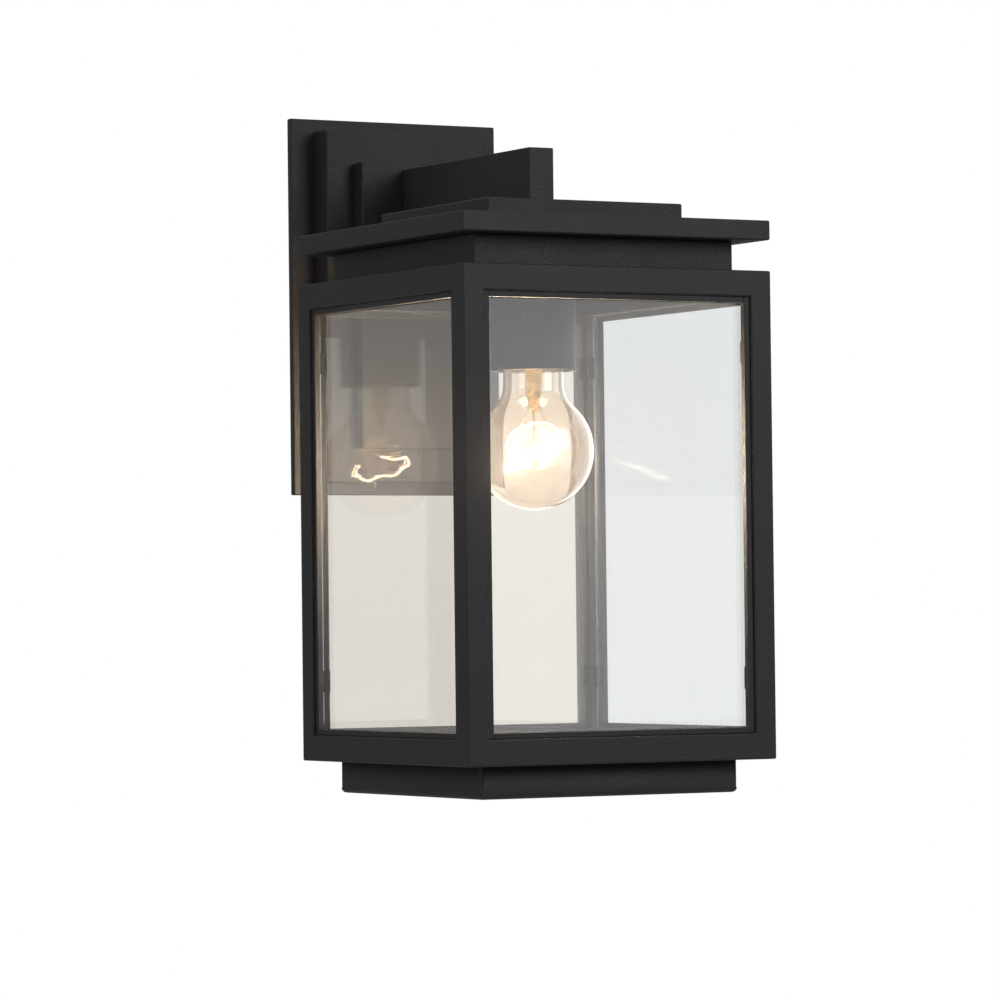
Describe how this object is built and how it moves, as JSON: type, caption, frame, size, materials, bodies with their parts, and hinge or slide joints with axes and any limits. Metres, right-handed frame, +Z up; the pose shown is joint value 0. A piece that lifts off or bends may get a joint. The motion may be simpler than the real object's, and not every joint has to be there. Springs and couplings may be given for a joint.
{
  "type": "outdoor wall lantern",
  "caption": "Square black outdoor wall lantern: four clear panes under a flat stepped roof, hung from a bar on a stepped wall plate, with a screw-in bulb that turns out.",
  "frame": {"origin": "centre of the wall plate's back, on the wall, midway between the two bracket slots", "axes": "+X to the right as seen from the room side, +Y into the wall, +Z up; the lantern hangs on the -Y side"},
  "size_m": [0.16, 0.2172, 0.3215],
  "materials": {
    "charcoal_coat": "matte fine-textured charcoal powder coat",
    "pane_glass": "clear float glass",
    "bulb_glass": "clear blown glass",
    "zinc_steel": "bright zinc plate",
    "brass": "bare brass",
    "bulb_cap": "rolled bare aluminium",
    "solder": "dull tin solder",
    "filament": "glowing tungsten",
    "rubber": "matte black",
    "porcelain": "glazed porcelain",
    "black_glass": "black insulating glass",
    "terminal_plastic": "ivory moulded",
    "wire_live": "brown sleeving",
    "wire_neutral": "blue sleeving",
    "wire_earth": "green and yellow sleeving"
  },
  "bodies": {
    "lantern": {"wall_gasket": "rubber", "mounting_bracket": "zinc_steel", "cable_grommet": "rubber", "terminal_block": "terminal_plastic", "wall_plate": "charcoal_coat", "raised_plate": "charcoal_coat", "arm_block": "charcoal_coat", "block_screws": "zinc_steel", "cover_screws": "charcoal_coat", "earth_screws": "brass", "arm_tube": "charcoal_coat", "arm_inserts": "zinc_steel", "arm_bolts": "zinc_steel", "wire_live": "wire_live", "wire_neutral": "wire_neutral", "wire_earth": "wire_earth", "cap_slab": "charcoal_coat", "roof_shell": "charcoal_coat", "roof_soffit": "charcoal_coat", "neck_collar": "charcoal_coat", "ceiling_plate": "charcoal_coat", "tie_screws": "zinc_steel", "rail_top_front": "charcoal_coat", "rail_top_right": "charcoal_coat", "rail_top_rear": "charcoal_coat", "rail_top_left": "charcoal_coat", "post_front_right": "charcoal_coat", "post_rear_right": "charcoal_coat", "post_rear_left": "charcoal_coat", "post_front_left": "charcoal_coat", "rail_bottom_front": "charcoal_coat", "rail_bottom_right": "charcoal_coat", "rail_bottom_rear": "charcoal_coat", "rail_bottom_left": "charcoal_coat", "glass_front": "pane_glass", "glass_right": "pane_glass", "glass_rear": "pane_glass", "glass_left": "pane_glass", "beads_front": "charcoal_coat", "beads_right": "charcoal_coat", "beads_rear": "charcoal_coat", "beads_left": "charcoal_coat", "glass_tabs": "charcoal_coat", "sill_plate": "charcoal_coat", "base_collar": "charcoal_coat", "base_floor": "charcoal_coat", "floor_spacers": "zinc_steel", "floor_screws": "zinc_steel", "holder_nipple": "zinc_steel", "nipple_nut": "zinc_steel", "holder_cup": "charcoal_coat", "holder_body": "porcelain", "holder_shell": "brass", "holder_contact": "brass"},
    "bulb_tip": {"bulb_tip": "solder"},
    "bulb": {"bulb_cap": "bulb_cap", "bulb_insulator": "black_glass", "bulb_glass": "bulb_glass", "bulb_stem": "bulb_glass", "bulb_filament": "filament"}
  },
  "joints": [
    {"name": "bulb_drop", "type": "slide", "parent": "lantern", "child": "bulb_tip", "axis": [0, 0, -1], "range_m": [0, 0.02178]},
    {"name": "bulb_turn", "type": "hinge", "parent": "bulb_tip", "child": "bulb", "pos_m": [0, -0.1372, -0.05], "axis": [0, 0, -1], "range_deg": [0, 2160]}
  ],
  "couplings": [
    {"joint": "bulb_drop", "follows": "bulb_turn", "m_per_rad": 0.00057757}
  ]
}
